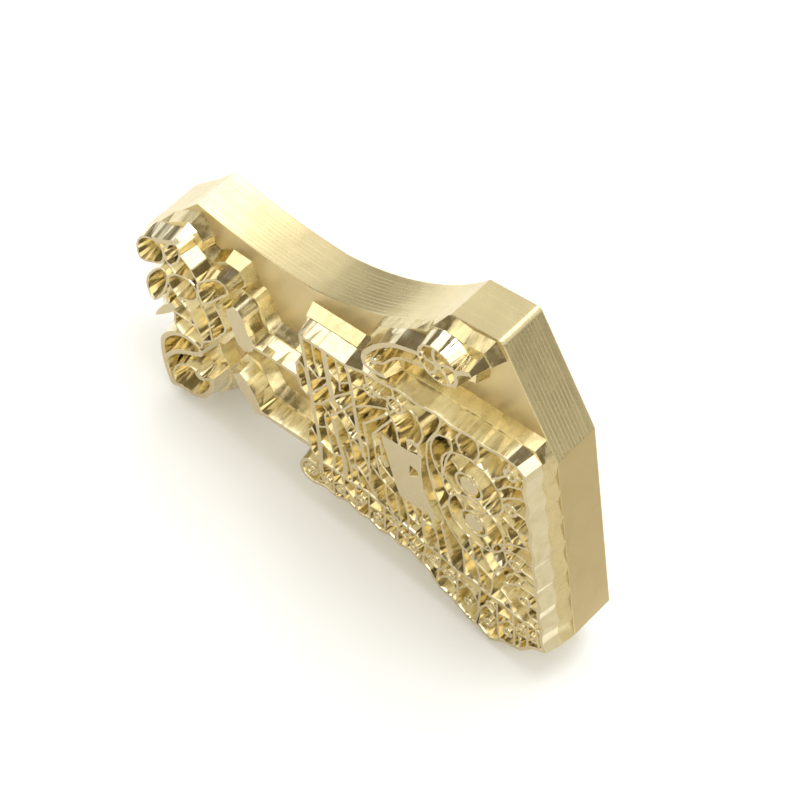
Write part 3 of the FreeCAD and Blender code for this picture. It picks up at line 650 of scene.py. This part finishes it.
class Dome(Graph):
    """Studio walls and ceiling as a function of the direction."""

    def __init__(self, tree):
        super().__init__(tree)
        self.way = self.add("ShaderNodeTexCoord").outputs["Generated"]
        split = self.add("ShaderNodeSeparateXYZ")
        self.link(self.way, split.inputs["Vector"])
        self.x, self.y, self.z = (split.outputs[k] for k in "XYZ")

    def ramp(self, source, low, high):
        node = self.add("ShaderNodeMapRange", interpolation_type="SMOOTHSTEP")
        node.inputs["From Min"].default_value = low
        node.inputs["From Max"].default_value = high
        self.link(source, node.inputs["Value"])
        return node.outputs["Result"]

    def toward(self, direction, low, high):
        return self.ramp(self.dot(self.way, Vector(direction).normalized()), low, high)


def light_dome(tree):
    """Bright walls with a dark corner at the right, a skylight and a row of strip lights."""
    d = Dome(tree)
    corner = d.maths("MULTIPLY", d.toward((0.907, 0.422, 0.0), 0.45, 0.9), d.ramp(d.z, 0.45, 0.05))
    walls = d.mix(corner, (0.92, 0.91, 0.885, 1.0), (0.34, 0.32, 0.28, 1.0))
    walls = d.mix(d.toward((-0.9, 0.42, 0.1), 0.925, 0.985), walls, (0.50, 0.48, 0.43, 1.0))
    skylight = d.mix(d.toward((-0.20, 0.46, 0.865), 0.95, 0.985), walls, (3.4, 3.3, 3.15, 1.0))
    turn = d.maths("ARCTAN2", d.x, d.z)
    wave = d.maths("SINE", d.maths("ADD", d.maths("MULTIPLY", turn, 4.6), 4.5))
    strips = d.mix(d.ramp(wave, -0.15, 0.60), (0.21, 0.175, 0.115, 1.0), (2.05, 1.98, 1.82, 1.0))
    band = d.maths("MULTIPLY", d.ramp(d.y, 0.27, 0.17), d.ramp(d.y, -0.98, -0.90))
    band = d.maths("MULTIPLY", band, d.ramp(d.z, 0.0, 0.15))
    d.link(d.mix(band, skylight, strips), tree.nodes["Background"].inputs["Color"])


class DIE_OT_stage(bpy.types.Operator):
    """Adds the camera, the floor, the lights and the reflection cards"""
    bl_idname = "die.stage"
    bl_label = "Stage"

    def execute(self, context):
        colours = context.scene.die_colours
        across = 2.0 * context.scene.die_sizes.floor_half
        sheet("floor", (across, across), plain("studio_floor", colours.studio))
        world = bpy.data.worlds.new("studio")
        world.use_nodes = True
        light_dome(world.node_tree)
        context.scene.world = world
        aim = (0.0, 0.0, 0.03)
        area_light("key", (0.14, 0.06, 0.80), aim, (0.28, 0.28), 1.9)
        dark = plain("studio_dark", (0.02, 0.017, 0.012), 1.0)
        card("dark_camera", (0.30, -0.36, 0.70), aim, (0.20, 0.20), dark)
        grey = plain("studio_grey", (0.62, 0.60, 0.55), 1.0)
        card("grey_right", (0.22, 0.06, 0.0015), (0.22, 0.06, -1.0), (0.32, 0.40), grey)
        card("dark_left", (-0.9, -0.35, 0.2), aim, (0.5, 0.16), dark)
        camera(context)
        context.scene.view_settings.view_transform = "Standard"
        return {"FINISHED"}


class DIE_PT_panel(bpy.types.Panel):
    """Lists the steps in order"""
    bl_idname = "DIE_PT_panel"
    bl_label = "Stamping Die"
    bl_space_type = "VIEW_3D"
    bl_region_type = "UI"
    bl_category = "Die"

    def draw(self, context):
        layout = self.layout
        for group in (context.scene.die_sizes, context.scene.die_colours):
            for key in group.__annotations__:
                layout.prop(group, key)
        for step in STEPS:
            layout.operator(step.bl_idname)


STEPS = (DIE_OT_block, DIE_OT_plateaus, DIE_OT_leaves, DIE_OT_scroll, DIE_OT_bars, DIE_OT_ribs,
         DIE_OT_rings, DIE_OT_border, DIE_OT_crest, DIE_OT_stage)
CLASSES = (DieSizes, DieColours) + STEPS + (DIE_PT_panel,)


def register():
    for cls in CLASSES:
        bpy.utils.register_class(cls)
    bpy.types.Scene.die_sizes = bpy.props.PointerProperty(type=DieSizes)
    bpy.types.Scene.die_colours = bpy.props.PointerProperty(type=DieColours)


def unregister():
    del bpy.types.Scene.die_colours
    del bpy.types.Scene.die_sizes
    for cls in reversed(CLASSES):
        bpy.utils.unregister_class(cls)


def main():
    register()
    bpy.ops.die.block()
    bpy.ops.die.plateaus()
    bpy.ops.die.leaves()
    bpy.ops.die.scroll()
    bpy.ops.die.bars()
    bpy.ops.die.ribs()
    bpy.ops.die.rings()
    bpy.ops.die.border()
    bpy.ops.die.crest()
    bpy.ops.die.stage()


if __name__ == "__main__":
    main()
